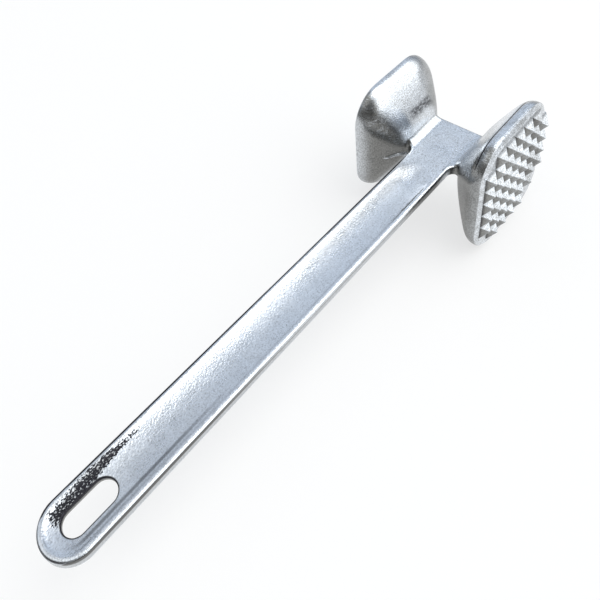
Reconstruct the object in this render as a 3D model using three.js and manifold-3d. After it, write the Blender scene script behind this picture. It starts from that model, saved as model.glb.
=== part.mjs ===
// Meat mallet, cast in one piece in aluminium.
// A flat dished handle with a hanging slot runs into a plate-like neck.
// The neck carries two domed heads: a coarse toothed face and a fine one.
// Millimetres, +Z up. The handle lies along X and the hammering axis along Y.

import * as THREE from 'three';
import { mergeVertices } from 'three/addons/utils/BufferGeometryUtils.js';
import Module from 'manifold-3d';

const wasm = await Module();
wasm.setup();

// Handle
const handleReach = 212;
const handleThickness = 4.6;
const handleEndWidth = 20.6;
const handleNeckWidth = 19.3;
const rimWidth = 1.8;
const channelStep = 0.4;
const channelDish = 1;
const channelStart = 18;
const channelRamp = 7;

// Hanging end
const slotInset = 16.8;
const slotLength = 19.1;
const slotWidth = 8.7;
const hangingEndLength = 32;

// Neck
const neckFarReach = 12.3;
const neckNearReach = 11.5;
const neckPlanFillet = 3.5;
const neckSpan = 25.6;
const neckRootFillet = 4.6;
const neckRootRise = 3.1;
const neckRootCorner = 3.5;
const neckEdgeRound = 0.6;

// Heads
const headWidth = 52.6;
const headHeight = 56.6;
const coarseHeadExtra = 2.2;
const headCorner = 15.8;
const headSpan = 60.2;
const sideWall = 4.3;
const backLedge = 0.6;
const backCurveShare = 0.75;
const bevelRise = 1.2;
const bevelWidth = 2;

// Teeth
const toothRoot = 1;
const toothTrim = 0.4;
const coarsePitch = 7;
const coarseHeight = 3.3;
const coarseMargin = 0.6;
const finePitch = 4;
const fineHeight = 1.6;
const fineMargin = 3;

// Facets and joining
const cornerSteps = 12;
const backSteps = 8;
const channelSteps = 12;
const channelEndSteps = 10;
const channelRampSteps = 5;
const roundSteps = 16;
const rootSteps = 8;
const overrun = 2;
const weldDistance = 0.0001;
const tipShare = 0.04;

// Two teeth are left out at one corner of the coarse face, counted from its middle tooth.
const coarseGaps = [[3, -2], [2, -3]];

// Sizes that follow from the ones above
const neckEnd = neckNearReach + neckPlanFillet;
const neckMiddle = (neckFarReach - neckNearReach) / 2;
const neckHalf = (neckFarReach + neckNearReach) / 2;
const neckTop = handleThickness / 2;
const rootPlane = neckSpan / 2;
const roundRadius = handleEndWidth / 2;
const roundCentre = roundRadius - handleReach;
const slotCentre = slotInset - handleReach;
const eyePlane = hangingEndLength - handleReach;
const slabFront = headSpan / 2;
const slabRear = slabFront - sideWall;
const padTop = slabFront + bevelRise;

// Turns a closed three.js geometry into a solid for joining and cutting.
function toSolid(geometry) {
  const bare = geometry.clone();
  bare.deleteAttribute('normal');
  bare.deleteAttribute('uv');
  const merged = mergeVertices(bare, weldDistance);
  const vertProperties = new Float32Array(merged.attributes.position.array);
  const triVerts = new Uint32Array(merged.index.array);
  return new wasm.Manifold(new wasm.Mesh({ numProp: 3, vertProperties, triVerts }));
}

// Turns a solid back into a geometry.
function toGeometry(solid) {
  const mesh = solid.getMesh();
  const geometry = new THREE.BufferGeometry();
  geometry.setAttribute('position', new THREE.BufferAttribute(mesh.vertProperties, 3));
  geometry.setIndex(new THREE.BufferAttribute(mesh.triVerts, 1));
  geometry.computeVertexNormals();
  return geometry;
}

// Six times the volume that the triangles enclose; its sign shows which way they face.
function signedVolume(points, triangles) {
  let sum = 0;
  for (let i = 0; i < triangles.length; i += 3) {
    const [a, b, c] = [0, 1, 2].map((k) => points[triangles[i + k]]);
    sum += a.dot(b.clone().cross(c));
  }
  return sum;
}

// Skins a stack of rings that all have the same number of points, and closes both ends.
function loft(rings) {
  const count = rings[0].length;
  const points = rings.flat();
  const triangles = [];
  for (let r = 0; r + 1 < rings.length; r += 1) {
    for (let i = 0; i < count; i += 1) {
      const a = r * count + i;
      const b = r * count + ((i + 1) % count);
      triangles.push(a, b, b + count, a, b + count, a + count);
    }
  }
  const last = (rings.length - 1) * count;
  for (let i = 1; i + 1 < count; i += 1) {
    triangles.push(0, i + 1, i);
    triangles.push(last, last + i, last + i + 1);
  }
  if (signedVolume(points, triangles) < 0) triangles.reverse();
  const geometry = new THREE.BufferGeometry().setFromPoints(points);
  geometry.setIndex(triangles);
  return geometry;
}

// A prism of a plan outline, centred on the handle's middle plane.
function plate(outline, thickness) {
  const options = { depth: thickness, bevelEnabled: false, curveSegments: roundSteps };
  const geometry = new THREE.ExtrudeGeometry(outline, options);
  geometry.translate(0, 0, -thickness / 2);
  return geometry;
}

// A box between two places along X that is wider and taller than the handle.
function slice(fromX, toX) {
  const wide = handleEndWidth + overrun;
  const geometry = new THREE.BoxGeometry(toX - fromX, wide, handleThickness + overrun);
  geometry.translate((fromX + toX) / 2, 0, 0);
  return toSolid(geometry);
}

// Half the handle's width at a place along X: a straight taper from end to neck.
function halfWidth(x) {
  const along = THREE.MathUtils.inverseLerp(roundCentre, -neckEnd, x);
  return THREE.MathUtils.lerp(handleEndWidth, handleNeckWidth, along) / 2;
}

// Handle

function handleOutline() {
  const outline = new THREE.Shape();
  outline.moveTo(-neckEnd, -halfWidth(-neckEnd));
  outline.lineTo(-neckEnd, halfWidth(-neckEnd));
  outline.lineTo(roundCentre, roundRadius);
  outline.absarc(roundCentre, 0, roundRadius, Math.PI / 2, Math.PI * 1.5, false);
  return outline;
}

function slotOutline() {
  const reach = (slotLength - slotWidth) / 2;
  const outline = new THREE.Shape();
  outline.absarc(slotCentre + reach, 0, slotWidth / 2, -Math.PI / 2, Math.PI / 2, false);
  outline.absarc(slotCentre - reach, 0, slotWidth / 2, Math.PI / 2, Math.PI * 1.5, false);
  return outline;
}

// One cross-section of the space that the dished channel takes out of a face.
function channelSection(x, half, fullHalf, ease) {
  const top = handleThickness / 2;
  const ring = [];
  for (let i = 0; i <= channelSteps; i += 1) {
    const y = THREE.MathUtils.lerp(-half, half, i / channelSteps);
    const dish = (channelDish * (half * half - y * y)) / (fullHalf * fullHalf);
    ring.push(new THREE.Vector3(x, y, top - ease * (channelStep + dish)));
  }
  ring.push(new THREE.Vector3(x, half, top + overrun));
  ring.push(new THREE.Vector3(x, -half, top + overrun));
  return ring;
}

// The channel has a round end that runs parallel to the handle's, and eases out at the neck.
function channel() {
  const rings = [];
  const endHalf = roundRadius - rimWidth;
  for (let i = 0; i < channelEndSteps; i += 1) {
    const angle = THREE.MathUtils.lerp(tipShare, 1, i / channelEndSteps) * (Math.PI / 2);
    const x = roundCentre - endHalf * Math.cos(angle);
    rings.push(channelSection(x, endHalf * Math.sin(angle), endHalf, 1));
  }
  rings.push(channelSection(roundCentre, endHalf, endHalf, 1));
  for (let i = channelRampSteps; i >= 0; i -= 1) {
    const x = -channelStart - (channelRamp * i) / channelRampSteps;
    const half = halfWidth(x) - rimWidth;
    const ease = THREE.MathUtils.smoothstep(i, 0, channelRampSteps);
    rings.push(channelSection(x, half, half, ease));
  }
  return loft(rings);
}

function handleBar() {
  const below = channel();
  below.applyMatrix4(new THREE.Matrix4().makeRotationX(Math.PI));
  const slot = plate(slotOutline(), handleThickness + overrun);
  const bar = toSolid(plate(handleOutline(), handleThickness));
  return bar.subtract(toSolid(channel())).subtract(toSolid(below)).subtract(toSolid(slot));
}

// Heads

// A rectangular ring with round corners, across the hammering axis.
function roundedRing(halfX, halfZ, corner, middleX, middleZ, y) {
  const ring = [];
  for (let quarter = 0; quarter < 4; quarter += 1) {
    const start = (quarter * Math.PI) / 2;
    const signX = quarter === 0 || quarter === 3 ? 1 : -1;
    const signZ = quarter < 2 ? 1 : -1;
    for (let i = 0; i <= cornerSteps; i += 1) {
      const angle = start + (Math.PI / 2) * (i / cornerSteps);
      const x = middleX + signX * (halfX - corner) + corner * Math.cos(angle);
      const z = middleZ + signZ * (halfZ - corner) + corner * Math.sin(angle);
      ring.push(new THREE.Vector3(x, y, z));
    }
  }
  return ring;
}

// The coarse head reaches further down than the fine one, and no further up.
function extraHeight(side) {
  return side < 0 ? coarseHeadExtra : 0;
}

// A head's outline, taken in all round by an inset.
function headRing(side, inset, y) {
  const extra = extraHeight(side);
  const halfX = headWidth / 2 - inset;
  const halfZ = (headHeight + extra) / 2 - inset;
  return roundedRing(halfX, halfZ, headCorner - inset, 0, -extra / 2, side * y);
}

// The back swells from the neck's root to the rim, fast at first and then more slowly.
function headBack(side) {
  const extra = extraHeight(side);
  const rings = [];
  for (let i = 0; i <= backSteps; i += 1) {
    const along = (i / backSteps) ** 2;
    const grown = along ** backCurveShare;
    rings.push(roundedRing(
      THREE.MathUtils.lerp(neckHalf, headWidth / 2 - backLedge, grown),
      THREE.MathUtils.lerp(neckTop + neckRootRise, (headHeight + extra) / 2 - backLedge, grown),
      THREE.MathUtils.lerp(neckRootCorner, headCorner - backLedge, grown),
      THREE.MathUtils.lerp(neckMiddle, 0, grown),
      THREE.MathUtils.lerp(0, -extra / 2, grown),
      side * THREE.MathUtils.lerp(rootPlane, slabRear, along),
    ));
  }
  return loft(rings);
}

function faceSlab(side) {
  return loft([headRing(side, 0, slabRear), headRing(side, 0, slabFront)]);
}

// True where a point of the face lies inside the outline taken in by the margin.
function onFace(x, z, margin) {
  const dx = Math.max(Math.abs(x) - (headWidth / 2 - headCorner), 0);
  const dz = Math.max(Math.abs(z) - (headHeight / 2 - headCorner), 0);
  return Math.hypot(dx, dz) <= headCorner - margin;
}

// A square pyramid whose root runs on below the pad's face.
function tooth(side, pitch, height, x, z) {
  const whole = height + toothRoot;
  const radius = ((pitch / 2) * Math.SQRT2 * whole) / height;
  const geometry = new THREE.ConeGeometry(radius, whole, 4);
  geometry.rotateY(Math.PI / 4);
  if (side < 0) geometry.rotateX(Math.PI);
  geometry.translate(x, side * (padTop + height - whole / 2), z);
  return toSolid(geometry);
}

// The teeth stand in a square grid, and only where their whole base fits on the face.
function toothedPad(side, pitch, height, margin, gaps) {
  const pad = loft([headRing(side, 0, slabFront), headRing(side, bevelWidth, padTop)]);
  const trim = loft([
    headRing(side, toothTrim, slabFront - overrun),
    headRing(side, toothTrim, padTop + height + overrun),
  ]);
  const reach = Math.floor(headHeight / 2 / pitch);
  let teeth = null;
  for (let column = -reach; column <= reach; column += 1) {
    for (let row = -reach; row <= reach; row += 1) {
      const farX = (Math.abs(column) + 0.5) * pitch;
      const farZ = (Math.abs(row) + 0.5) * pitch;
      const left = gaps.some(([gapColumn, gapRow]) => gapColumn === column && gapRow === row);
      if (onFace(farX, farZ, margin) && !left) {
        const next = tooth(side, pitch, height, column * pitch, row * pitch);
        teeth = teeth ? teeth.add(next) : next;
      }
    }
  }
  return toGeometry(toSolid(pad).add(teeth.intersect(toSolid(trim))));
}

// Neck

// Seen from above: round inner corners where the handle joins, cut off at the heads' roots.
function neckOutline() {
  const joinHalf = halfWidth(-neckEnd);
  const centre = joinHalf + neckPlanFillet;
  const sweep = Math.asin((centre - rootPlane) / neckPlanFillet);
  const quarter = Math.PI / 2;
  const outline = new THREE.Shape();
  outline.moveTo(neckFarReach, -rootPlane);
  outline.lineTo(neckFarReach, rootPlane);
  outline.absarc(-neckEnd, centre, neckPlanFillet, -sweep, -quarter, true);
  outline.absarc(-neckEnd, -centre, neckPlanFillet, quarter, sweep, true);
  return outline;
}

// The neck thickens in a round root towards each head.
function neckRoot(side) {
  const sweep = Math.acos(1 - neckRootRise / neckRootFillet);
  const start = rootPlane - neckRootFillet * Math.sin(sweep);
  const rings = [];
  for (let i = 0; i <= rootSteps; i += 1) {
    const angle = (sweep * i) / rootSteps;
    const half = neckTop + neckRootFillet * (1 - Math.cos(angle));
    const corner = THREE.MathUtils.lerp(neckEdgeRound, neckRootCorner, i / rootSteps);
    const y = side * (start + neckRootFillet * Math.sin(angle));
    rings.push(roundedRing(neckHalf, half, corner, neckMiddle, 0, y));
  }
  return toSolid(loft(rings));
}

function neck() {
  const middle = toSolid(plate(neckOutline(), handleThickness));
  return toGeometry(middle.add(neckRoot(-1)).add(neckRoot(1)));
}

// Assembly

const grained = { color: 0xc9cbd6, roughness: 0.42, metalness: 1 };
const bright = { color: 0xd9dae0, roughness: 0.24, metalness: 1 };

function piece(name, geometry, finish) {
  const mesh = new THREE.Mesh(geometry, new THREE.MeshStandardMaterial(finish));
  mesh.name = name;
  return mesh;
}

const bar = handleBar();
const handle = new THREE.Group();
handle.add(
  piece('hanging_end', toGeometry(bar.intersect(slice(-handleReach - overrun, eyePlane))), grained),
  piece('grip', toGeometry(bar.intersect(slice(eyePlane, -neckEnd))), grained),
  piece('neck', neck(), grained),
);

const coarseHead = new THREE.Group();
coarseHead.add(
  piece('coarse_head_back', headBack(-1), bright),
  piece('coarse_face_slab', faceSlab(-1), bright),
  piece('coarse_toothed_pad', toothedPad(-1, coarsePitch, coarseHeight, coarseMargin, coarseGaps), bright),
);

const fineHead = new THREE.Group();
fineHead.add(
  piece('fine_head_back', headBack(1), bright),
  piece('fine_face_slab', faceSlab(1), bright),
  piece('fine_toothed_pad', toothedPad(1, finePitch, fineHeight, fineMargin, []), bright),
);

// The part's origin is on the table, below the middle of the whole mallet.
const mallet = new THREE.Group();
mallet.name = 'meat_mallet';
mallet.add(handle, coarseHead, fineHead);
mallet.position.set(
  (handleReach - headWidth / 2) / 2,
  (coarseHeight - fineHeight) / 2,
  headHeight / 2 + coarseHeadExtra,
);

export default mallet;
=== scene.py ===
# %% [markdown]
# # A cast aluminium meat mallet
#
# The real mallet is one aluminium casting: a flat handle with a dished channel on both
# sides, a plate-like neck, and two square heads with swelling backs. One face has
# coarse pyramids and the other has fine ones.
#
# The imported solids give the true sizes. They could be shown as they are, but their
# edges are as sharp as a drawing's. Here each region of the casting is made again with
# the soft edges, rounded beads and flowing joins that a casting has.

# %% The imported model
import math

import bmesh
import bpy
from mathutils import Matrix, Vector


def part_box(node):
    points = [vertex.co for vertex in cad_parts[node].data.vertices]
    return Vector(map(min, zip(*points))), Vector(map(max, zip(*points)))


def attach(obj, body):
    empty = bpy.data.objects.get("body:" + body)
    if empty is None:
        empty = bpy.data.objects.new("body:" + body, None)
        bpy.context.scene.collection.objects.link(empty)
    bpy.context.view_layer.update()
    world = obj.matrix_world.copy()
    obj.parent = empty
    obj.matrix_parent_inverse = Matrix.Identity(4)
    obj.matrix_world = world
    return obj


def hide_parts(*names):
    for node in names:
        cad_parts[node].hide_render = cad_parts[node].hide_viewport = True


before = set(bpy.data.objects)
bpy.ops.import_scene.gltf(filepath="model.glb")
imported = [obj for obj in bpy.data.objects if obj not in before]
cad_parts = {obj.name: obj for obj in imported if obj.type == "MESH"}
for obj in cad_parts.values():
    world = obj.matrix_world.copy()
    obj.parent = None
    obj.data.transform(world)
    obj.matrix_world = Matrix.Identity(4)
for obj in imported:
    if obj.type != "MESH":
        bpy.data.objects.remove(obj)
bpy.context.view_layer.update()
print("packed nodes:", ", ".join(sorted(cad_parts)))


# %% [markdown]
# ## The middle of the mallet
#
# Every length is in metres, but a casting is easier to read in millimetres, so each
# size is written in millimetres times MM. All pieces are made around one point: where
# the handle's middle plane meets the middle of both heads. It could be typed in, but
# the neck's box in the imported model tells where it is, and then both always agree.

# %% The middle of the heads
MM = 0.001
NECK_FAR = 12.3 * MM

neck_low, neck_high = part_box("neck")
MIDDLE = Vector((
    neck_high[0] - NECK_FAR,
    (neck_low[1] + neck_high[1]) / 2,
    (neck_low[2] + neck_high[2]) / 2,
))
print("middle of the heads, mm:", [round(v / MM, 2) for v in MIDDLE])


# %% [markdown]
# ## Camera
#
# The photograph looks down the handle from above its hanging end, from close by, so
# the handle's end looms large. A camera can be turned by hand until the view looks
# right, but here its lens, place and angles were fitted to the edges of the handle,
# the slot and both heads. The mallet isn't in the middle of the lens's view, and the
# shift makes up for that.

# %% Camera
CAMERA_FROM_MIDDLE = Vector((-200.18, -110.55, 213.18)) * MM
CAMERA_ANGLES = (49.762, 6.706, -46.872)

camera_data = bpy.data.cameras.new("camera")
camera_data.lens = 40.833
camera_data.shift_x, camera_data.shift_y = 0.0592, -0.3087
camera_data.clip_start = 10 * MM
camera = bpy.data.objects.new("camera", camera_data)
camera.location = MIDDLE + CAMERA_FROM_MIDDLE
camera.rotation_euler = [math.radians(angle) for angle in CAMERA_ANGLES]
bpy.context.collection.objects.link(camera)
bpy.context.scene.camera = camera
print("camera to the heads, mm:", round(CAMERA_FROM_MIDDLE.length / MM))


# %% [markdown]
# ## Writing shaders as sums
#
# A node tree is a formula, so it reads best as one. It could be built node by node,
# but then every sum takes three lines. The class below wraps a node's output: adding
# or multiplying two of them puts down the Math node that does it. Four more methods
# turn a value into a mask, which is 1 where something is to show and 0 elsewhere.

# %% An output that can be used like a number
class Wire:
    def __init__(self, tree, socket):
        self.tree = tree
        self.socket = socket

    def math(self, operation, *values):
        return put(self.tree, "ShaderNodeMath", {"operation": operation}, [self, *values])

    def __add__(self, other):
        return self.math("ADD", other)

    def __sub__(self, other):
        return self.math("SUBTRACT", other)

    def __rsub__(self, other):
        return put(self.tree, "ShaderNodeMath", {"operation": "SUBTRACT"}, [other, self])

    def __mul__(self, other):
        return self.math("MULTIPLY", other)

    def __truediv__(self, other):
        return self.math("DIVIDE", other)

    def __abs__(self):
        return self.math("ABSOLUTE")

    __radd__ = __add__
    __rmul__ = __mul__

    def step(self, low, high):
        """0 below low, 1 above high, and a smooth turn between."""
        settings = {"interpolation_type": "SMOOTHSTEP"}
        return put(self.tree, "ShaderNodeMapRange", settings, [self, low, high])

    def fall(self, low, high):
        """1 below low, 0 above high."""
        return 1 - self.step(low, high)

    def band(self, start, full, ebb, end):
        """Rises from start to full, and falls again from ebb to end."""
        return self.step(start, full) * self.fall(ebb, end)

    def line(self, core, edge):
        """1 where the value is within core of zero, and 0 further away than edge."""
        return abs(self).fall(core, edge)

    def mix(self, a, b):
        """Colour a where this is 0 and colour b where it is 1."""
        settings = {"data_type": "RGBA"}
        return put(self.tree, "ShaderNodeMix", settings, {"Factor": self, 6: a, 7: b}, out=2)


print("masks come from step, fall, band and line")


# %% [markdown]
# Every node comes from one function. It takes the node's type, its settings and then
# its sockets, because some settings change which sockets there are. A value is written
# into its socket, and a Wire is linked to it. The first tree is the world's, and its
# first node gives the direction that is looked at.

# %% Putting down a node
def put(tree, kind, settings=None, values=(), out=0):
    """Puts down one node, and hands over the output that is asked for."""
    node = tree.nodes.new(kind)
    for setting, value in (settings or {}).items():
        setattr(node, setting, value)
    pairs = values.items() if isinstance(values, dict) else enumerate(values)
    for key, value in pairs:
        if isinstance(value, Wire):
            tree.links.new(value.socket, node.inputs[key])
        else:
            node.inputs[key].default_value = value
    return Wire(tree, node.outputs[out]) if node.outputs else None


def fresh_tree(owner):
    """The empty node tree of a world or a material."""
    owner.use_nodes = True
    owner.node_tree.nodes.clear()
    return owner.node_tree


world = bpy.data.worlds.new("studio")
bpy.context.scene.world = world
sky = fresh_tree(world)
looking = put(sky, "ShaderNodeTexCoord")
print("nodes in the world:", len(sky.nodes))


# %% [markdown]
# ## Room
#
# Bare metal has hardly any colour of its own: what it shows is the room around it. The
# room could be a panorama picture or a box with lit walls. A formula of the direction
# alone needs neither, and two angles are enough to move a patch of it. The largest
# patch comes first: the room is dark on the side of the hanging end, and pale blue
# beyond the mallet.

# %% Two sides of the room
DARK_SIDE = (0.20, 0.20, 0.195, 1)
PALE_SIDE = (0.62, 0.69, 0.79, 1)


def heading(turn, climb):
    """A direction of length one: so many degrees round from X, and so many up."""
    turn, climb = math.radians(turn), math.radians(climb)
    level = math.cos(climb)
    return Vector((level * math.cos(turn), level * math.sin(turn), math.sin(climb)))


def toward(turn, climb):
    """How nearly the view points to a place in the room, from -1 to 1."""
    settings = {"operation": "DOT_PRODUCT"}
    return put(sky, "ShaderNodeVectorMath", settings, [looking, heading(turn, climb)], out=1)


room = toward(20, 30).step(-0.4, 0.3).mix(DARK_SIDE, PALE_SIDE)
print("nodes in the world:", len(sky.nodes))


# %% [markdown]
# Two bright places on the ceiling follow. The shoulders of the heads' backs mirror the
# first. The second is the ceiling around the lamp, and the slopes of the channel mirror
# it. A dim upright strip lies between them on the side of the fine head, as a doorway
# would, and breaks up the pale reflections there.

# %% Ceiling and doorway
CEILING = (1.05, 1.07, 1.08, 1)
DOORWAY = (0.42, 0.45, 0.50, 1)

first_ceiling = toward(150, 66).step(0.80, 0.92)
doorway = toward(-5, 0).line(0.08, 0.20) * toward(85, 35).step(0.6, 0.8)
second_ceiling = toward(-35, 70).step(0.88, 0.96)
room = first_ceiling.mix(room, CEILING)
room = doorway.mix(room, DOORWAY)
room = second_ceiling.mix(room, CEILING)
print("nodes in the world:", len(sky.nodes))


# %% [markdown]
# The window is the brightest patch. It stands on the side of the coarse head, lights
# the teeth from there, and ends level with the heads, so the sides that face the
# handle stay dark. Last comes a grey band at eye level beyond the mallet. Without it
# every upright wall would mirror a pale room and look as bright as the top.

# %% Window and level band
WINDOW = (1.6, 1.62, 1.62, 1)
LEVEL_BAND = (0.40, 0.42, 0.45, 1)

window = toward(-60, 36).step(0.62, 0.82) * toward(-5, 0).step(-0.20, 0.0)
level_band = toward(0, 90).line(0.05, 0.20) * toward(10, 0).step(-0.25, 0.1)
room = window.mix(room, WINDOW)
room = level_band.mix(room, LEVEL_BAND)
backdrop = put(sky, "ShaderNodeBackground", None, [room, 1.0])
put(sky, "ShaderNodeOutputWorld", None, [backdrop])
print("nodes in the world:", len(sky.nodes))


# %% [markdown]
# ## Floor
#
# The photograph's background is plain white. A white floor that is only lit comes out
# grey, and more light would bleach the mallet too. So this floor is a mix: a lit white
# surface, which keeps the mallet's shadow, and a share of pure white that only the
# camera and mirroring metal see.

# %% Floor
FLOOR_RADIUS = 3.0
FLOOR_WHITE_SHARE = 0.65

floor_bm = bmesh.new()
bmesh.ops.create_circle(floor_bm, cap_ends=True, segments=64, radius=FLOOR_RADIUS)
floor_mesh = bpy.data.meshes.new("floor")
floor_bm.to_mesh(floor_mesh)
floor_bm.free()
floor = bpy.data.objects.new("floor", floor_mesh)
bpy.context.collection.objects.link(floor)

pale = bpy.data.materials.new("pale_floor")
paint = fresh_tree(pale)
lit = put(paint, "ShaderNodeBsdfDiffuse", None, {"Color": (0.90, 0.90, 0.89, 1)})
white = put(paint, "ShaderNodeEmission", None, [(1, 1, 1, 1), 1.0])
camera_ray, glossy_ray, through_ray = (
    put(paint, "ShaderNodeLightPath", out=ray)
    for ray in ("Is Camera Ray", "Is Glossy Ray", "Is Transmission Ray")
)
share = (camera_ray + glossy_ray + through_ray) * FLOOR_WHITE_SHARE
shown = put(paint, "ShaderNodeMixShader", None, [share, lit, white])
put(paint, "ShaderNodeOutputMaterial", None, [shown])
floor_mesh.materials.append(pale)
print("floor, m across:", 2 * FLOOR_RADIUS)


# %% [markdown]
# ## Lamp
#
# The room lights the mallet from all sides. A single point of light would draw a hard
# shadow and a hot spot on the metal, so the one lamp is a large soft disk. It hangs
# beyond the heads, a little towards the coarse one, and lays a faint shadow.

# %% Lamp
LAMP_AWAY = 1.5
LAMP_SIZE = 1.2
LAMP_POWER = 6.3

lamp_data = bpy.data.lights.new("overhead", "AREA")
lamp_data.shape = "DISK"
lamp_data.size = LAMP_SIZE
lamp_data.energy = LAMP_POWER
lamp = bpy.data.objects.new("overhead", lamp_data)
to_lamp = heading(-35, 68)
lamp.location = MIDDLE + to_lamp * LAMP_AWAY
lamp.rotation_euler = (-to_lamp).to_track_quat("-Z", "Y").to_euler()
bpy.context.collection.objects.link(lamp)
print("lamp above the floor, m:", round(lamp.location.z, 2))


# %% [markdown]
# ## Helpers for shaping
#
# A section through a head or its root is a rectangle with round corners everywhere, so
# one helper bends a circle of vertices to that shape. A row of blocks with rounded
# edges could do it too, but would leave a seam at every joint.

# %% A ring with round corners
CORNER_STEPS = 24


def bend_ring(verts, half_x, half_z, corner, middle_x, middle_z, y):
    """Bends a circle's vertices to a rectangle with round corners, square to Y."""
    for index, vert in enumerate(verts):
        quarter, step = divmod(index, CORNER_STEPS)
        angle = (quarter + step / (CORNER_STEPS - 1)) * math.pi / 2
        sign_x = 1 if quarter in (0, 3) else -1
        sign_z = 1 if quarter < 2 else -1
        x = middle_x + sign_x * (half_x - corner) + corner * math.cos(angle)
        z = middle_z + sign_z * (half_z - corner) + corner * math.sin(angle)
        vert.co = MIDDLE + Vector((x, y, z))


print("vertices in a ring:", 4 * CORNER_STEPS)


# %% [markdown]
# A loft is a row of such rings, each one extruded from the last and bent to its own
# size. The extruded vertices come back in no fixed order, so each new one is matched
# to the old one that it hangs on. From ring to ring the sizes go from one value to
# another: blend does that, and smooth takes the kinks out where there would be any.

# %% Lofts
def next_ring(bm, verts, edges):
    """Extrudes a ring once. Its new vertices keep the order of the old ones."""
    made = bmesh.ops.extrude_edge_only(bm, edges=edges)["geom"]
    order = {vert: index for index, vert in enumerate(verts)}
    moved = [None] * len(verts)
    for item in made:
        if isinstance(item, bmesh.types.BMVert) and item not in order:
            for edge in item.link_edges:
                other = edge.other_vert(item)
                if other in order:
                    moved[order[other]] = item
    far = [item for item in made if isinstance(item, bmesh.types.BMEdge)
           and not any(vert in order for vert in item.verts)]
    return moved, far


def loft(bm, rings):
    """Extrudes a ring through the given shapes, and closes both ends."""
    verts = bmesh.ops.create_circle(bm, segments=4 * CORNER_STEPS, radius=1)["verts"]
    bend_ring(verts, *rings[0])
    edges = list({edge for vert in verts for edge in vert.link_edges})
    bmesh.ops.edgeloop_fill(bm, edges=edges)
    for ring in rings[1:]:
        verts, edges = next_ring(bm, verts, edges)
        bend_ring(verts, *ring)
    bmesh.ops.edgeloop_fill(bm, edges=edges)


def blend(a, b, share):
    """From a to b. It works on numbers, and on Wires too."""
    return a + (b - a) * share


def smooth(value):
    """0 below 0, 1 above 1, and a smooth turn between."""
    value = min(max(value, 0.0), 1.0)
    return value * value * (3 - 2 * value)


print("a smooth turn after a quarter of its way:", smooth(0.25))


# %% [markdown]
# A mesh becomes an object with smooth shading, but an edge stays sharp where its faces
# meet at more than a given angle. Some shapes are finished by a modifier. It could stay
# live, but the next step works on the finished mesh, so it is applied at once.

# %% Objects from meshes
def make_object(name, bm, sharp=35):
    """Turns a bmesh into an object that is smooth except across its sharp edges."""
    bmesh.ops.remove_doubles(bm, verts=bm.verts, dist=0.001 * MM)
    bmesh.ops.recalc_face_normals(bm, faces=bm.faces)
    for face in bm.faces:
        face.smooth = True
    for edge in bm.edges:
        edge.smooth = not edge.is_manifold or edge.calc_face_angle(0) < math.radians(sharp)
    mesh = bpy.data.meshes.new(name)
    bm.to_mesh(mesh)
    bm.free()
    made = bpy.data.objects.new(name, mesh)
    bpy.context.collection.objects.link(made)
    return made


def apply_modifiers(made):
    """Keeps the shape that an object's modifiers give, and drops the modifiers."""
    graph = bpy.context.evaluated_depsgraph_get()
    mesh = bpy.data.meshes.new_from_object(made.evaluated_get(graph))
    made.modifiers.clear()
    made.data = mesh


# %% [markdown]
# ## Handle and neck plate
#
# Seen from above, the handle and the neck are a T. Two bars laid across each other
# would need joining. A grid of two by three cells has the shape of a T once two of its
# cells are gone, and its corners are moved to the mallet's own sizes.

# %% Outline of handle and neck
HANDLE_REACH = 212 * MM
HANDLE_END_WIDTH = 20.6 * MM
HANDLE_NECK_WIDTH = 19.3 * MM
HANDLE_THICK = 4.6 * MM
NECK_NEAR = 11.5 * MM
NECK_SPAN = 25.6 * MM

plate_bm = bmesh.new()
bmesh.ops.create_grid(plate_bm, x_segments=2, y_segments=3, size=1)
for vert in plate_bm.verts:
    column = round(vert.co.x) + 1
    row = round((vert.co.y + 1) * 1.5)
    half = (HANDLE_END_WIDTH if column == 0 else HANDLE_NECK_WIDTH) / 2
    x = (-HANDLE_REACH, -NECK_NEAR, NECK_FAR)[column]
    y = (-NECK_SPAN / 2, -half, half, NECK_SPAN / 2)[row]
    vert.co = MIDDLE + Vector((x, y, -HANDLE_THICK / 2))
spare = [face for face in plate_bm.faces
         if face.calc_center_median().x < MIDDLE.x - NECK_NEAR
         and abs(face.calc_center_median().y - MIDDLE.y) > HANDLE_NECK_WIDTH / 2]
bmesh.ops.delete(plate_bm, geom=spare, context="FACES")
loose = [vert for vert in plate_bm.verts if not vert.link_faces]
bmesh.ops.delete(plate_bm, geom=loose, context="VERTS")
bmesh.ops.dissolve_faces(plate_bm, faces=plate_bm.faces)
print("corners of the T:", len(plate_bm.verts))


# %% [markdown]
# The T is raised to the handle's thickness. Then its upright edges are rounded: two
# into the half circle of the hanging end, and two into the fillets where the heads'
# arms begin. The edges along the top and the bottom get the small round of the real
# handle's bead.

# %% Rounding the plate
NECK_FILLET = 3.5 * MM
BEAD_ROUND = 0.7 * MM
CLOSE = 0.1 * MM
ARC_GAP = 0.01 * MM


def upright_at(bm, x, inner=False):
    """The upright edges at one place along the handle. Inner ones lie clear of the heads."""
    found = []
    for edge in bm.edges:
        a, b = (vert.co - MIDDLE for vert in edge.verts)
        upright = abs(a.x - b.x) < CLOSE and abs(a.y - b.y) < CLOSE
        wanted = not inner or abs(a.y) < NECK_SPAN / 2 - MM
        if upright and wanted and abs(a.x - x) < CLOSE:
            found.append(edge)
    return found


def round_edges(bm, edges, radius, segments):
    bmesh.ops.bevel(bm, geom=edges, offset=radius, offset_type="OFFSET", segments=segments,
                    profile=0.5, affect="EDGES", material=-1, clamp_overlap=False)


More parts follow.
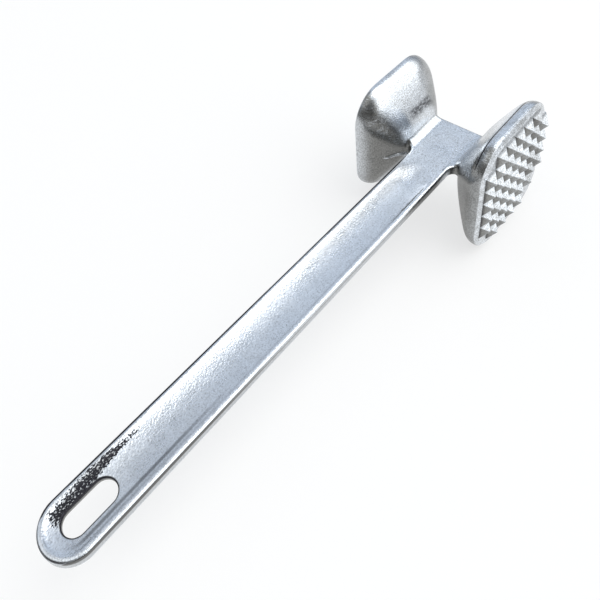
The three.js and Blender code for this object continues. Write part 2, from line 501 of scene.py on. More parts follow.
raised = bmesh.ops.extrude_face_region(plate_bm, geom=plate_bm.faces[:])["geom"]
top = [item for item in raised if isinstance(item, bmesh.types.BMVert)]
bmesh.ops.translate(plate_bm, verts=top, vec=(0, 0, HANDLE_THICK))
bmesh.ops.recalc_face_normals(plate_bm, faces=plate_bm.faces)
round_edges(plate_bm, upright_at(plate_bm, -NECK_NEAR, inner=True), NECK_FILLET, 12)
round_edges(plate_bm, upright_at(plate_bm, -HANDLE_REACH), HANDLE_END_WIDTH / 2 - ARC_GAP, 24)
bead = [edge for edge in plate_bm.edges
        if edge.is_manifold and edge.calc_face_angle(0) > math.radians(60)
        and abs(edge.verts[0].co.z - edge.verts[1].co.z) < CLOSE]
round_edges(plate_bm, bead, BEAD_ROUND, 4)
casting = make_object("casting", plate_bm)
print("plate faces:", len(casting.data.polygons))


# %% [markdown]
# ## Hanging slot
#
# The mallet hangs by a slot with round ends. It could be part of the outline, but its
# arcs are easier to make on a block of their own: a cube whose upright edges are
# rounded to half circles. A Boolean modifier takes that block out of the plate.

# %% Hanging slot
SLOT_INSET = 16.8 * MM
SLOT_LENGTH = 19.1 * MM
SLOT_WIDTH = 8.7 * MM
SLOT_MIDDLE = SLOT_INSET - HANDLE_REACH

slot_bm = bmesh.new()
slot_place = Matrix.Translation(MIDDLE + Vector((SLOT_MIDDLE, 0, 0)))
slot_size = Matrix.Diagonal((SLOT_LENGTH, SLOT_WIDTH, 3 * HANDLE_THICK, 1))
bmesh.ops.create_cube(slot_bm, size=1, matrix=slot_place @ slot_size)
for end in (-1, 1):
    corners = upright_at(slot_bm, SLOT_MIDDLE + end * SLOT_LENGTH / 2)
    round_edges(slot_bm, corners, SLOT_WIDTH / 2 - ARC_GAP, 16)
slot_cutter = make_object("slot_cutter", slot_bm)
cut = casting.modifiers.new("slot", "BOOLEAN")
cut.operation = "DIFFERENCE"
cut.object = slot_cutter
apply_modifiers(casting)
bpy.data.objects.remove(slot_cutter)
print("plate faces with the slot:", len(casting.data.polygons))


# %% [markdown]
# ## Heads' backs
#
# Each back grows out of the neck and swells to the outline of its head. The coarse
# head reaches a little further down than the fine one. One function gives that outline
# for any inset, so that the backs and the faces can't disagree.

# %% Outline of a head
HEAD_WIDTH = 52.6 * MM
HEAD_HEIGHT = 56.6 * MM
HEAD_CORNER = 15.8 * MM
HEAD_SPAN = 60.2 * MM
SIDE_WALL = 4.3 * MM
COARSE_EXTRA = 2.2 * MM
SLAB_FRONT = HEAD_SPAN / 2
SLAB_REAR = SLAB_FRONT - SIDE_WALL


def extra_height(side):
    """What the coarse head, on side -1, has more than the fine one, on side 1."""
    return COARSE_EXTRA if side < 0 else 0


def head_ring(side, inset, y):
    """A head's outline, taken in all round."""
    extra = extra_height(side)
    half_x = HEAD_WIDTH / 2 - inset
    half_z = (HEAD_HEIGHT + extra) / 2 - inset
    return half_x, half_z, HEAD_CORNER - inset, 0, -extra / 2, side * y


print("heights of the heads, mm:", [(HEAD_HEIGHT + extra_height(side)) / MM for side in (-1, 1)])


# %% [markdown]
# The root comes first. It starts as the neck's own section and thickens along an arc,
# as the real neck does so that it doesn't crack there. A bevel on the finished join
# could give the arc, but would stop at the neck's own rounded edges.

# %% Roots
ROOT_STEPS = 8
ROOT_FILLET = 4.6 * MM
ROOT_RISE = 3.1 * MM
ROOT_CORNER = 3.5 * MM
EDGE_ROUND = 0.6 * MM
ARM_HALF = (NECK_FAR + NECK_NEAR) / 2
ARM_MIDDLE = (NECK_FAR - NECK_NEAR) / 2


def root_rings(side):
    sweep = math.acos(1 - ROOT_RISE / ROOT_FILLET)
    start = NECK_SPAN / 2 - ROOT_FILLET * math.sin(sweep)
    rings = []
    for i in range(ROOT_STEPS):
        angle = sweep * i / ROOT_STEPS
        rise = HANDLE_THICK / 2 + ROOT_FILLET * (1 - math.cos(angle))
        corner = blend(EDGE_ROUND, ROOT_CORNER, i / ROOT_STEPS)
        y = side * (start + ROOT_FILLET * math.sin(angle))
        rings.append((ARM_HALF, rise, corner, ARM_MIDDLE, 0, y))
    return rings


print("rings in a root:", len(root_rings(1)))


# %% [markdown]
# From there the back swells to the head's outline, fast at first and slower later, and
# turns into the head's side wall. The fine head turns in a broad round, and the coarse
# head nearly in an edge. The curve could be drawn by hand, but one power with a rounded
# end follows the photograph, and has few numbers to adjust.

# %% Backs and side walls
BACK_STEPS = 36
TURN_STEPS = 6
BACK_CURVE = 0.75
CORNER_CURVE = 0.55
COARSE_TURN = 0.15
FINE_TURN = 0.21
WALL_LAP = 0.3 * MM


def growth(along, turn):
    """How far a back has grown to the full outline. The turn is how round it ends."""
    raw = along ** BACK_CURVE
    if raw <= 1 - turn:
        return raw
    return raw - (raw - 1 + turn) ** 2 / (4 * turn) if raw < 1 + turn else 1.0


def back_rings(side):
    turn = COARSE_TURN if side < 0 else FINE_TURN
    full_turn = (1 + turn) ** (1 / BACK_CURVE)
    stations = [(i / BACK_STEPS) ** 2 for i in range(BACK_STEPS + 1)]
    stations += [blend(1, full_turn, (i + 1) / TURN_STEPS) for i in range(TURN_STEPS)]
    stations.append((SLAB_FRONT - WALL_LAP - NECK_SPAN / 2) / (SLAB_REAR - NECK_SPAN / 2))
    half_height = (HEAD_HEIGHT + extra_height(side)) / 2
    rings = []
    for along in stations:
        grown = growth(along, turn)
        rings.append((
            blend(ARM_HALF, HEAD_WIDTH / 2, grown),
            blend(HANDLE_THICK / 2 + ROOT_RISE, half_height, grown),
            blend(ROOT_CORNER, HEAD_CORNER, grown ** CORNER_CURVE),
            blend(ARM_MIDDLE, 0, grown),
            blend(0, -extra_height(side) / 2, grown),
            side * blend(NECK_SPAN / 2, SLAB_REAR, along),
        ))
    return rings


backs = []
for side in (-1, 1):
    back_bm = bmesh.new()
    loft(back_bm, root_rings(side) + back_rings(side))
    backs.append(make_object("back", back_bm))
print("faces of the backs:", [len(back.data.polygons) for back in backs])


# %% [markdown]
# ## One casting
#
# The plate and both backs now overlap. Booleans would join them, but leave every
# inner corner sharp. A voxel remesh turns them into one skin instead, and some
# smoothing gives every edge and corner the small radius that molten metal leaves.

# %% Joining the casting
VOXEL = 0.4 * MM
SMOOTH_PASSES = 5

joined = bmesh.new()
for piece in (casting, *backs):
    joined.from_mesh(piece.data)
    bpy.data.objects.remove(piece)
casting = make_object("casting", joined)
remesh = casting.modifiers.new("skin", "REMESH")
remesh.mode = "VOXEL"
remesh.voxel_size = VOXEL
apply_modifiers(casting)
skin = bmesh.new()
skin.from_mesh(casting.data)
bpy.data.objects.remove(casting)
for _ in range(SMOOTH_PASSES):
    bmesh.ops.smooth_vert(skin, verts=skin.verts, factor=0.5,
                          use_axis_x=True, use_axis_y=True, use_axis_z=True)
print("skin faces:", len(skin.faces))


# %% [markdown]
# ## Channel
#
# Both flats of the handle are dished, which saves metal and gives the fingers a hold.
# The channel drops in a small step inside the rim, dips to its middle, and runs out in
# a ramp before the neck. It could be cut out, but it comes last, as a move of the
# skin's own vertices, so that its floor is perfectly fair.

# %% Pressing the channel
RIM_WIDTH = 1.8 * MM
CHANNEL_STEP = 0.4 * MM
CHANNEL_LIP = 1.1 * MM
CHANNEL_DISH = 1.0 * MM
CHANNEL_START = 18 * MM
CHANNEL_RAMP = 12 * MM
CHANNEL_BOW = 0.4
ROUND_END = HANDLE_END_WIDTH / 2 - HANDLE_REACH


def channel_depth(x, y):
    """How far the channel's floor lies below the rim's top, at a place on the handle."""
    along = min(max((x - ROUND_END) / (-NECK_NEAR - ROUND_END), 0), 1)
    full = blend(HANDLE_END_WIDTH, HANDLE_NECK_WIDTH, along) / 2 - RIM_WIDTH
    inside = full - (math.hypot(x - ROUND_END, y) if x < ROUND_END else abs(y))
    if inside <= 0:
        return 0.0
    dish = CHANNEL_DISH * (1 - (1 - inside / full) ** 2)
    lip = CHANNEL_STEP * smooth(inside / CHANNEL_LIP)
    start = (-CHANNEL_START - x) / CHANNEL_RAMP - CHANNEL_BOW * (y / full) ** 2
    return (lip + dish) * smooth(start)


for vert in skin.verts:
    place = vert.co - MIDDLE
    if place.x < -CHANNEL_START:
        sunk = channel_depth(place.x, place.y)
        vert.co.z -= sunk * min(max(place.z / (HANDLE_THICK / 2), -1), 1)
print("channel depth, mm:", round(channel_depth(-HANDLE_REACH / 2, 0) / MM, 2))


# %% [markdown]
# ## Flash
#
# The dies met along the middle plane. A little metal ran out between them, and what
# the trimming left is a thin wavy ridge on the side of the fine head that faces the
# handle. It could be a strip of its own, but it is part of the casting, so the skin is
# lifted along a wavy line.

# %% Flash at the parting line
FLASH_PROUD = 1.0 * MM
FLASH_HALF = 0.85 * MM
FLASH_WAVE = 0.6 * MM
FLASH_RIPPLE = 1.1 * MM
FLASH_FROM, FLASH_RISE = -1.5 * MM, 1.0 * MM
FLASH_TO, FLASH_FADE = 4.0 * MM, 3.5 * MM
PARTING = -2.7 * MM


def flash(place):
    """How far the flash stands proud at a place on the skin."""
    out = place.y - NECK_SPAN / 2
    wave = FLASH_WAVE * math.sin(place.y / FLASH_RIPPLE)
    away = abs(place.z - PARTING - wave) / FLASH_HALF
    reach = smooth((out - FLASH_FROM) / FLASH_RISE) * (1 - smooth((out - FLASH_TO) / FLASH_FADE))
    return FLASH_PROUD * max(1 - away * away, 0) * reach


lifted = 0
skin.normal_update()
for vert in skin.verts:
    place = vert.co - MIDDLE
    if place.x < 0 and place.y > NECK_SPAN / 2 - 2 * MM and abs(place.z - PARTING) < 2 * MM:
        vert.co += vert.normal * flash(place)
        lifted += 1
print("vertices near the flash:", lifted)


# %% [markdown]
# ## Cutting the skin
#
# The casting is one skin now, but each piece stands for its own node. The pieces could
# have stayed apart from the start, but their joins would show. So the finished skin is
# cut where it crosses a plain flat part, and the light runs over the cuts unbroken.

# %% Cutting the skin
HANDLE_CUT = -16.5 * MM
HEAD_CUT = 8.2 * MM
CLEAR_OF_HANDLE = 11 * MM


def cut_across(place, direction, inside):
    """Lays a row of edges across the faces that pass the test."""
    faces = [face for face in skin.faces if inside(face.calc_center_median() - MIDDLE)]
    edges = list({edge for face in faces for edge in face.edges})
    verts = list({vert for face in faces for vert in face.verts})
    bmesh.ops.bisect_plane(skin, geom=faces + edges + verts, dist=0.0001 * MM,
                           plane_co=MIDDLE + Vector(place), plane_no=direction)


cut_across((HANDLE_CUT, 0, 0), (1, 0, 0), lambda place: abs(place.y) < CLEAR_OF_HANDLE)
for side in (-1, 1):
    cut_across((0, side * HEAD_CUT, 0), (0, 1, 0), lambda place: place.x > HANDLE_CUT)
print("skin faces after the cuts:", len(skin.faces))


# %% [markdown]
# Every face of the skin belongs to one of four pieces. A piece is a copy of the whole
# skin without the faces of the others, and its open ends are closed again.

# %% Four pieces of one skin
def region(place):
    """The piece that a place on the skin belongs to."""
    if place.x < HANDLE_CUT and abs(place.y) < CLEAR_OF_HANDLE:
        return "handle"
    if abs(place.y) < HEAD_CUT:
        return "neck_plate"
    return "coarse_back" if place.y < 0 else "fine_back"


def part_of(name):
    part = skin.copy()
    others = [face for face in part.faces
              if region(face.calc_center_median() - MIDDLE) != name]
    bmesh.ops.delete(part, geom=others, context="FACES")
    bmesh.ops.edgeloop_fill(part, edges=[edge for edge in part.edges if edge.is_boundary])
    made = make_object(name, part, sharp=60)
    print(name, "triangles:", sum(len(face.vertices) - 2 for face in made.data.polygons))
    return made


handle = part_of("handle")
neck = part_of("neck_plate")
coarse_back = part_of("coarse_back")
fine_back = part_of("fine_back")
skin.free()


# %% [markdown]
# ## Faces
#
# A face is a slab with a bevelled margin and a field of pyramids. The slab starts inside
# the back, comes out at the side wall, and turns over a rounded edge to the slope of
# the margin. It is a loft of the head's outline, because a bevel of the slab's edge
# couldn't give the edge and the slope their own sizes.

# %% Slab and margin
BEVEL_RISE = 1.2 * MM
BEVEL_WIDTH = 2.0 * MM
PAD_TOP = SLAB_FRONT + BEVEL_RISE
WALL_IN = 0.04 * MM

# Each step is how far the outline is taken in, and where it lies.
SLAB_STEPS = (
    (1.5 * MM, SLAB_FRONT - 2.0 * MM),
    (WALL_IN, SLAB_FRONT - 1.3 * MM),
    (WALL_IN, SLAB_FRONT - 0.4 * MM),
    (0.10 * MM, SLAB_FRONT - 0.12 * MM),
    (0.30 * MM, SLAB_FRONT + 0.05 * MM),
    (0.55 * MM, SLAB_FRONT + 0.2 * MM),
    (BEVEL_WIDTH - 0.2 * MM, PAD_TOP - 0.12 * MM),
    (BEVEL_WIDTH + 0.2 * MM, PAD_TOP),
)


def face_slab(bm, side):
    loft(bm, [head_ring(side, inset, y) for inset, y in SLAB_STEPS])


print("steps of a slab:", len(SLAB_STEPS))


# %% [markdown]
# ## Teeth
#
# The pyramids stand in rows across each face. One pyramid could be copied to every
# place, but a grid is simpler: it starts flat, with one square cell for each tooth, and
# loses the cells that would run off the face.

# %% A cell for each tooth
def inside_face(x, z, margin):
    """Whether a place lies within the head's outline, less a margin."""
    dx = max(abs(x) - (HEAD_WIDTH / 2 - HEAD_CORNER), 0)
    dz = max(abs(z) - (HEAD_HEIGHT / 2 - HEAD_CORNER), 0)
    return math.hypot(dx, dz) <= HEAD_CORNER - margin


def tooth_cells(bm, pitch, margin, gaps):
    """A flat grid with one cell for each tooth, and no cell at the gaps."""
    count = 2 * int(HEAD_HEIGHT / 2 / pitch) + 1
    made = bmesh.ops.create_grid(bm, x_segments=count, y_segments=count, size=count * pitch / 2)
    cells, spare = [], []
    for face in {face for vert in made["verts"] for face in vert.link_faces}:
        centre = face.calc_center_median()
        column, row = round(centre.x / pitch), round(centre.y / pitch)
        outer = ((abs(column) + 0.5) * pitch, (abs(row) + 0.5) * pitch)
        stays = inside_face(*outer, margin) and (column, row) not in gaps
        (cells if stays else spare).append(face)
    bmesh.ops.delete(bm, geom=spare, context="FACES")
    return cells


print("the middle of a face is inside it:", inside_face(0, 0, 0))


# %% [markdown]
# Poking a cell splits it into four and raises its middle to a point. The ridges are
# then blunted a little, as they are on any casting. A short skirt around the grid sinks
# into the slab, and closes each field of teeth to a solid of its own.

# %% Raising the teeth
TOOTH_ROOT = 0.6 * MM
TOOTH_BLUNT = 0.12 * MM


def raise_teeth(bm, cells, height):
    verts = list({vert for face in cells for vert in face.verts})
    rim = [edge for edge in {edge for vert in verts for edge in vert.link_edges}
           if edge.is_boundary]
    skirt = bmesh.ops.extrude_edge_only(bm, edges=rim)["geom"]
    low = [item for item in skirt if isinstance(item, bmesh.types.BMVert)]
    bmesh.ops.translate(bm, verts=low, vec=(0, 0, -TOOTH_ROOT))
    tips = bmesh.ops.poke(bm, faces=cells, offset=height)["verts"]
    round_edges(bm, list({edge for tip in tips for edge in tip.link_edges}), TOOTH_BLUNT, 2)


def tooth_face(name, side, pitch, height, margin, gaps=()):
    """A head's face: its teeth, turned to stand on the slab, and the slab itself."""
    bm = bmesh.new()
    cells = tooth_cells(bm, pitch, margin, gaps)
    print(name, "teeth:", len(cells))
    raise_teeth(bm, cells, height)
    turn = Matrix(((1, 0, 0), (0, 0, side), (0, 1, 0)))
    for vert in bm.verts:
        vert.co = MIDDLE + Vector((0, side * PAD_TOP, 0)) + turn @ vert.co
    bmesh.ops.edgeloop_fill(bm, edges=[edge for edge in bm.edges if edge.is_boundary])
    bmesh.ops.recalc_face_normals(bm, faces=bm.faces)
    if bm.calc_volume(signed=True) < 0:
        bmesh.ops.reverse_faces(bm, faces=bm.faces)
    face_slab(bm, side)
    return make_object(name, bm, sharp=15)


print("teeth reach into the slab, mm:", round(TOOTH_ROOT / MM, 1))


# %% [markdown]
# The coarse pyramids break up tough meat, and the fine ones finish it. On the coarse
# face two corner cells are gaps, where the real one has no tooth either.

# %% Both faces
COARSE_PITCH, FINE_PITCH = 7 * MM, 4 * MM
COARSE_HEIGHT, FINE_HEIGHT = 3.3 * MM, 1.6 * MM
COARSE_MARGIN, FINE_MARGIN = 0.6 * MM, 3 * MM
COARSE_GAPS = ((3, -2), (2, -3))

coarse_face = tooth_face(
    "coarse_face", -1, COARSE_PITCH, COARSE_HEIGHT, COARSE_MARGIN, COARSE_GAPS)
fine_face = tooth_face("fine_face", 1, FINE_PITCH, FINE_HEIGHT, FINE_MARGIN)


# %% [markdown]
# ## Cast aluminium
#
# The metal is pale and slightly blue. Its skin has a fine grain from the die and a
# broader unevenness like orange peel. Painted pictures could carry all that, but noise
# on the mallet's own coordinates has no seams and no stretched places.
#
# Every mark below is a mask, and most ask where on the mallet a place is, and which
# way it faces. A Skin holds those answers. Its lengths are millimetres from the
# middle of the heads, and its directions run from -1 to 1.

# %% Places and directions on the skin
PATCHES, ORANGE_PEEL, STREAKS = 60.0, 420.0, 520.0
FINE_GRAIN, SAND, GRIT = 1500.0, 1900.0, 2100.0


class Skin:
    def __init__(self, tree):
        self.tree = tree
        self.place = put(tree, "ShaderNodeTexCoord", out="Object")
        facing = put(tree, "ShaderNodeTexCoord", out="Normal")
        self.x, self.y, self.z = (
            (self.axis(self.place, letter) - start) / MM for letter, start in zip("XYZ", MIDDLE)
        )
        self.from_middle = abs(self.y)
        self.to_handle = self.axis(facing, "X") * -1
        self.across = self.axis(facing, "Y")
        self.up = self.axis(facing, "Z")
        self.peel = self.noise(ORANGE_PEEL, 3.0)
        self.fine = self.noise(FINE_GRAIN, 3.0)
        self.sand = self.noise(SAND)
        self.patch = self.noise(PATCHES, 3.0)
        self.streaks = self.noise(STREAKS, 3.0, (1.0, 0.6, 2.2))
        self.grit = self.noise(GRIT, 2.0, (0.6, 1.0, 1.0))

    def axis(self, vector, letter):
        """One coordinate of a place or a direction."""
        return put(self.tree, "ShaderNodeSeparateXYZ", None, [vector], out=letter)

    def noise(self, grains_per_metre, detail=2.0, squeeze=(1.0, 1.0, 1.0)):
        """A noise that is squeezed along an axis where its number is above 1."""
        settings = {"operation": "MULTIPLY"}
        place = put(self.tree, "ShaderNodeVectorMath", settings, [self.place, squeeze])
        values = {"Vector": place, "Scale": grains_per_metre, "Detail": detail}
        return put(self.tree, "ShaderNodeTexNoise", None, values)


print("widest and finest noise, mm:", round(1 / PATCHES / MM, 1), round(1 / GRIT / MM, 1))


# %% [markdown]
# The masks of whole regions come first, because most marks are kept to one of them.
# They could be read from the pieces' names, but a place on the skin does as well, and
# two pieces that share a material then also share its marks.

# %% Regions of the mallet
HEADS_FROM = (-35, -28)
HANDLE_TO = (-26, -16)
HANDLE_HALF = (11.5, 13)


def mark_regions(s):
    """Adds the masks of the regions to a Skin."""
    s.on_heads = s.x.step(*HEADS_FROM)
    s.on_handle = s.x.fall(*HANDLE_TO) * s.from_middle.fall(*HANDLE_HALF)
    s.on_face = s.from_middle.step(SLAB_FRONT / MM - 0.3, SLAB_FRONT / MM + 0.1)
    s.on_teeth = s.from_middle.step(PAD_TOP / MM - 0.05, PAD_TOP / MM + 0.05)
    s.on_top = s.z.step(0, 0.3)
    s.leaning_up = s.up.step(0.16, 0.32)


print("the handle's marks end at, mm:", HANDLE_TO)


# %% [markdown]
# ### Painted shade on the heads' sides
#
# The sides of the heads that face the handle, and the far sides, are covered with the
# duller and warmer metal as painted shade. Near the side wall the painted shade gives
# way a little, and on the shoulders it is broken into lighter streaks.

# %% Painted shade on the heads
RIM_LIGHT_COARSE, RIM_LIGHT_FINE = 0.36, 0.68
STREAK_LIFT = 0.42
INNER_SHADE, FAR_SHADE, FINE_FAR_SHADE = 0.6, 0.55, 0.6


def shade_on_backs(s):
    """How much painted shade the backs get, by the way that they face."""
    # The painted shade gives way near the side wall, and lifts in streaks on the shoulders.
    rim_light = blend(RIM_LIGHT_COARSE, RIM_LIGHT_FINE, s.y.step(-5, 5))
    rim_light = rim_light * s.to_handle.step(0.55, 0.95) * s.from_middle.step(19, 31)
    shoulder = s.to_handle.band(0.30, 0.42, 0.66, 0.82) * s.up.step(0.0, 0.16)
    lifted_streaks = shoulder * s.streaks.step(0.46, 0.60) * STREAK_LIFT
    back = s.to_handle.step(0.26, 0.52) * (1 - rim_light) * (1 - lifted_streaks)
    inner = s.across.step(0.50, 0.78) * s.up.fall(0.42, 0.62) * s.y.fall(-12, -9) * INNER_SHADE
    far = (s.to_handle * -1).step(-0.05, 0.45) * FAR_SHADE
    fine_far = (s.to_handle * -1).step(-0.16, 0.34) * s.y.step(12, 15) * FINE_FAR_SHADE
    return back.math("MAXIMUM", inner).math("MAXIMUM", far).math("MAXIMUM", fine_far)


def shade_on_faces(s):
    """Painted shade on margin and teeth where they face the handle, less at the tips."""
    tip = s.from_middle.step(PAD_TOP / MM, (PAD_TOP + COARSE_HEIGHT) / MM)
    return s.to_handle.step(0.52, 0.68) * (s.on_teeth * blend(0.75, 0.35, tip) + 0.25)


# All the painted shade of the heads, by the way each place faces.
def painted_shade(s):
    return blend(shade_on_backs(s), shade_on_faces(s), s.on_face) * s.on_heads


print("dull share of the far sides:", FAR_SHADE, FINE_FAR_SHADE)


# %% [markdown]
# ### The handle's wall and rim
#
# The handle's side wall is darkened too, as painted shade, most of all near the neck.
# Along the rim run thin dark lines of painted shade, where the bead meets the wall or
# the lip of the channel. They could be modelled as grooves, but colour alone makes
# them. A line needs to know how far inside the handle's outline it lies.

# %% Wall and near line, painted shade
TAPER = (HANDLE_NECK_WIDTH - HANDLE_END_WIDTH) / 2 / (-NECK_NEAR - ROUND_END)


def from_outline(s):
    """How far inside the handle's outline a place lies, in millimetres."""
    past_round = s.x - ROUND_END / MM
    half_width = past_round * TAPER + HANDLE_END_WIDTH / 2 / MM
    round_end = past_round.math("MINIMUM", 0.0)
    return half_width - (round_end.math("POWER", 2.0) + s.y.math("POWER", 2.0)).math("SQRT")


# Painted shade on the handle's upright side wall, strongest near the neck.
def wall_shade(s):
    return s.up.line(0.05, 0.15) * s.on_handle * blend(0.46, 0.96, s.x.step(-52, -32))


def near_shade_line(s):
    """A line of painted shade under the bead on the coarse head's side, faint along the grip."""
    bead = s.z.step(0.5, 0.9) * s.up.fall(0.62, 0.76) * (s.across * -1).step(0.60, 0.72)
    faint = s.x.band(-165, -110, -48, -34) * blend(0.5, 1.0, s.patch)
    return bead * s.on_handle * (1 - faint)


print("the handle narrows by, mm in 100:", round(-200 * TAPER, 2))


# %% [markdown]
# Five more lines belong to the rim: one around the hanging end, one on the last stretch
# before the neck, one along the whole side of the fine head, a faint one at the
# channel's lip, and a grey streak further inside, on the coarse head's side. The first
# four are painted shade at the rim's edges and the channel's step.

# %% Lines along the rim
END_DARK, ROOT_DARK, LIP_DARK, STREAK_DARK = 0.85, 0.8, 0.35, 0.6
LIP_AT, STREAK_AT = 2.1, 4.0


# Painted shade lines at the rim's edges and the channel's step, and a grey streak.
def rim_shade_lines(s):
    edge = from_outline(s)
    end = s.leaning_up * edge.fall(0.35, 0.8) * s.x.fall(-204, -198) * s.y.step(-9, -6)
    root = s.leaning_up * edge.fall(0.5, 1.1) * s.x.band(-75, -50, -24, -18) * s.y.step(0, 2)
    far = s.leaning_up * s.across.step(0.03, 0.17) * s.y.step(7.6, 8.4) * s.on_handle
    lip = (edge - LIP_AT).line(0.1, 0.35) * s.x.fall(-150, -90) * s.y.step(-4, 2) * s.on_top
    streak = (edge - STREAK_AT).line(0.2, 0.9) * s.x.band(-208, -200, -172, -135)
    streak = streak * s.y.fall(-5, -3) * s.on_top
    return (end * END_DARK + root * s.on_handle * ROOT_DARK + far
            + lip * LIP_DARK + streak * STREAK_DARK)


print("lines inside the outline, mm:", LIP_AT, STREAK_AT)


# %% [markdown]
# ### Marks on the heads
#
# Painted shade darkens the places where the shape changes: streaks on the shoulders,
# a line beside the fine head's root, the valleys between the teeth, and the crease where
# the coarse head's back meets its side wall; the crease is also a groove in the bump.

# %% Painted shade on shoulders, root, valleys and crease
SHOULDER_SHADE, VALLEY_DARK = 0.22, 0.6
ROOT_SHADE_AT = 15.6


# Painted shade: streaks on the shoulders that face the handle, a line at the fine head's root, and
# the teeth's valleys.
def head_shade_marks(s):
    shoulder_shade = s.to_handle.band(0.30, 0.42, 0.60, 0.74) * s.up.band(0.02, 0.20, 0.62, 0.80)
    shoulder_shade = shoulder_shade * s.on_heads * (1 - s.on_face) * s.z.step(-1.5, 0.5)
    shoulder_shade = shoulder_shade * s.streaks.step(0.36, 0.60) * SHOULDER_SHADE
    root_shade = (s.y - ROOT_SHADE_AT).line(0.3, 1.6) * s.x.band(-7, -2, 9, 13) * s.z.step(6, 8)
    root_shade = root_shade * blend(0.2, 0.8, s.streaks.step(0.3, 0.6))
    valley_shade = s.on_teeth * s.from_middle.fall(PAD_TOP / MM + 0.05, PAD_TOP / MM + 1.0)
    valley_shade = valley_shade * s.across.line(0.85, 0.95) * VALLEY_DARK
    return shoulder_shade + root_shade + valley_shade


def crease(s):
    """Painted shade, and a groove in the bump, along the upper part of the coarse head only."""
    groove = (s.y + SLAB_REAR / MM + 0.2).line(0.12, 0.5)
    return groove * s.z.step(17, 22) * blend(0.6, 1.2, s.patch)


print("scuff from the middle, mm:", ROOT_SHADE_AT)


# %% [markdown]
# ### Trimmed flash
#
# The flash's top is kept bright against the painted shade around it, as a painted
# highlight, and a dark line of painted shadow runs under it. Further along the parting
# plane only a faint trace of that line is left. They could be painted freely, but must
# follow the same wave as the ridge that the skin has there, so both come from the
# ridge's own measures.

# %% Colours of the flash
def flash_marks(s, shade_mask):
    """The flash's painted highlight on top, and the painted shadow line below it."""
    wave = (s.y / (FLASH_RIPPLE / MM)).math("SINE") * (FLASH_WAVE / MM)
    above = s.z - PARTING / MM - wave
    near_root = s.y.band(12, 13, 16.5, 20) * s.x.fall(-6, -3)
    flash_highlight = above.line(0.3, 0.75) * near_root
    flash_shadow = (above + 0.8).line(0.1, 0.5) * shade_mask * blend(0.12, 1.02, near_root)
    return flash_highlight, flash_shadow


print("flash below the middle plane, mm:", round(-PARTING / MM, 1))


# %% [markdown]
# ### Around the hanging slot
#
# The slot's wall is darkened and a dark line runs round its edge, both painted shade of
# the hole. On one side a strip of the channel is rough: there the metal ran cold, and
# it is full of black pits. Holes in the mesh would be far too small, so the pits are a
# coarse noise that is cut off high.

# %% Slot, rough strip and pits
def slot_shade(s):
    """Painted shade on the slot's wall and at its edge, by the distance to its middle line."""
    past = abs(s.x - SLOT_MIDDLE / MM) - (SLOT_LENGTH - SLOT_WIDTH) / 2 / MM
    past = past.math("MAXIMUM", 0.0)
    away = (past.math("POWER", 2.0) + s.y.math("POWER", 2.0)).math("SQRT") - SLOT_WIDTH / 2 / MM
    return away.fall(0.2, 0.8), (away - 0.15).line(0.1, 0.45) * s.on_top


def rough_strip(s):
    """The strip bends away from the slot, and narrows towards the grip."""
    middle = blend(5.1, 6.9, s.x.step(-206, -184))
    half = blend(2.9, 0.9, s.x.step(-198, -172))
    strip = ((s.y - middle) / half).line(0.3, 1.1)
    return strip * s.x.band(-207, -203, -182, -166) * s.on_top


def cold_pits(s, strip):
    return (s.grit + strip * 0.19).step(0.56, 0.64) * strip.step(0.0, 0.2)


print("slot's straight part, mm:", round((SLOT_LENGTH - SLOT_WIDTH) / MM, 1))


# %% [markdown]
# ### Colour
#
# Three colours are enough. Dull metal covers the bright one as painted shade and on the
# cold-run strip, a speckle of it lies over everything, and the marks go in last, nearly
# black: real pits, and lines and patches of painted shade.
# One material per mark would leave hard borders, and sums of masks don't.

# %% Bright, dull and dark metal
# The dull and the nearly black colour also paint shade, besides grain and pits.
BRIGHT_METAL = (0.83, 0.87, 0.92, 1)
DULL_AND_SHADE_METAL = (0.27, 0.27, 0.26, 1)
PITS_AND_SHADE = (0.03, 0.03, 0.035, 1)
SLOPE_SHADE, CLOUD_DULL = 0.38, 0.3
SPECKS_PER_POLISH, SPECKS_OFF = 2.4, 0.25


def speckled(s, base, polish):
    """Dull metal in the grain, in specks and in clouds, and painted shade on the grip's far slope.
    """
    mottle = (s.fine * 0.5 + s.peel * 0.5).fall(0.40, 0.62) * blend(0.16, 0.36, s.on_face)
    rougher = polish * SPECKS_PER_POLISH - SPECKS_OFF
    specks = s.sand.step(0.56, 0.72) * rougher
    specks = specks + s.sand.step(0.38, 0.62) * blend(0.14, 0.26, s.on_heads)
    clouds = s.patch.step(0.50, 0.72) * s.from_middle.step(12, 14) * CLOUD_DULL
    slope = s.y.step(1, 5) * s.x.step(-125, -55) * s.on_handle * SLOPE_SHADE
    return (mottle + specks + clouds + slope).math("MINIMUM", 1.0).mix(base, DULL_AND_SHADE_METAL)


def grain_in_shade(s, shade_mask):
    """Dark sand and darker patches inside the painted shade, as strong as the shade is."""
    sand = s.sand.step(0.40, 0.62) * blend(0.4, 0.28, s.on_face)
    patches = s.patch.step(0.42, 0.62) * blend(0.24, 0.06, s.y.step(-6, 6))
    return (sand + patches) * shade_mask


print("bright and dull metal:", BRIGHT_METAL[:3], DULL_AND_SHADE_METAL[:3])


# %% [markdown]
# ### The finished metal
#
# The handle is left with more grain than the heads, so one function makes both
# materials from two numbers: how rough the polish is, and how deep the grain. The
# grain is a bump and not a shape, because it is finer than the mesh.

# %% Cast aluminium
SLOT_SHADE, STRIP_DULL, PATCH_DULL = 0.8, 0.6, 0.5
FLASH_HIGHLIGHT = 2
NEAR_DARK = 0.5
PATCH_ROUGH, DULL_ROUGH = 0.1, 0.1
PEEL_RISE, GRAIN_RISE, PIT_SINK = 0.22, 0.78, 0.4


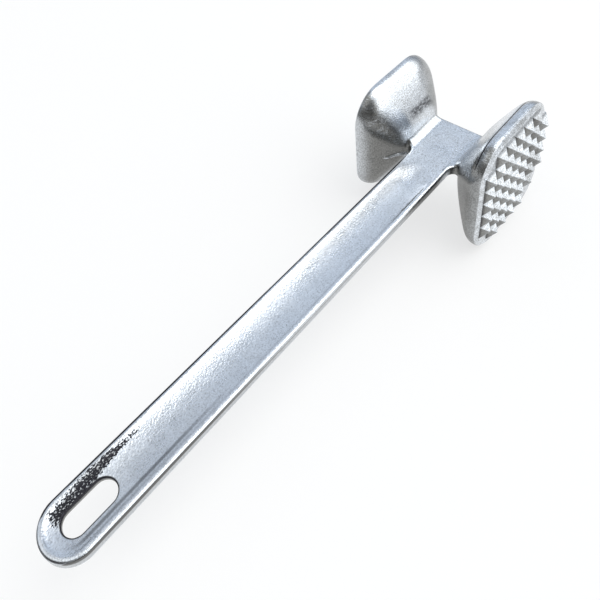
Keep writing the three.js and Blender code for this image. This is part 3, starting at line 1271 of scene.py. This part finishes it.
def cast_aluminium(name, polish, grain):
    material = bpy.data.materials.new(name)
    tree = fresh_tree(material)
    s = Skin(tree)
    mark_regions(s)
    # The painted shade of the heads; it also feeds the roughness and the grain in shade.
    shade_mask = painted_shade(s)
    near = near_shade_line(s)
    flash_highlight, flash_shadow = flash_marks(s, shade_mask)
    slot_wall_shade, slot_edge_shade = slot_shade(s)
    strip = rough_strip(s)
    pits = cold_pits(s, strip)
    crease_shade_and_groove = crease(s)

    # Dull metal over the painted shade of heads, slot wall and handle wall, the real rough strip
    # and the near line of painted shade; the flash's painted highlight clears it.
    cover = shade_mask + (s.patch - 0.5) * PATCH_DULL * shade_mask + slot_wall_shade * SLOT_SHADE
    cover = cover + strip * STRIP_DULL + wall_shade(s) + near - flash_highlight * FLASH_HIGHLIGHT
    base = speckled(s, cover.step(0.0, 1.0).mix(BRIGHT_METAL, DULL_AND_SHADE_METAL), polish)
    # Nearly black: the real pits, and painted shade in the crease, under the flash, along the rim,
    # at the slot's edge and on the heads.
    dark = pits + crease_shade_and_groove + flash_shadow + rim_shade_lines(s) + near * NEAR_DARK + slot_edge_shade
    dark = dark + head_shade_marks(s) + grain_in_shade(s, shade_mask)
    base = dark.math("MINIMUM", 1.0).mix(base, PITS_AND_SHADE)

    rough = s.patch.step(0.3, 0.7) * PATCH_ROUGH + shade_mask * DULL_ROUGH + polish
    height = s.peel * PEEL_RISE + s.fine * GRAIN_RISE - pits * PIT_SINK - crease_shade_and_groove
    relief = {"Strength": 1.0, "Distance": grain, "Height": height}
    bump = put(tree, "ShaderNodeBump", None, relief)
    values = {"Base Color": base, "Metallic": 1.0, "Roughness": rough, "Normal": bump}
    metal = put(tree, "ShaderNodeBsdfPrincipled", None, values)
    put(tree, "ShaderNodeOutputMaterial", None, [metal])
    print(name, "nodes:", len(tree.nodes))
    return material


grained = cast_aluminium("grained_cast_aluminium", polish=0.24, grain=0.15 * MM)
bright_cast = cast_aluminium("bright_cast_aluminium", polish=0.17, grain=0.10 * MM)


# %% [markdown]
# ## Putting it together
#
# The mallet has no joint, so every piece rides on its one body. Each piece gets its
# metal, and stands for the nodes that it covers. A table says all of it at a glance,
# which six blocks of the same lines wouldn't.

# %% Bodies, slots and nodes
for piece, material, slot_name, nodes in (
    (handle, grained, "grained_cast_aluminium", ("hanging_end", "grip")),
    (neck, grained, "grained_cast_aluminium", ("neck",)),
    (coarse_back, bright_cast, "bright_cast_aluminium", ("coarse_head_back",)),
    (fine_back, bright_cast, "bright_cast_aluminium", ("fine_head_back",)),
    (coarse_face, bright_cast, "bright_cast_aluminium", ("coarse_face_slab", "coarse_toothed_pad")),
    (fine_face, bright_cast, "bright_cast_aluminium", ("fine_face_slab", "fine_toothed_pad")),
):
    piece.data.materials.clear()
    piece.data.materials.append(material)
    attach(piece, "root")
    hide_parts(*nodes)
    print(piece.name, "stands for", " and ".join(nodes))


# %% [markdown]
# ## View
#
# The Standard view shows each colour about as it is written, where Blender's usual
# view would grey the white floor.

# %% View
bpy.context.scene.view_settings.view_transform = "Standard"
bpy.context.view_layer.update()
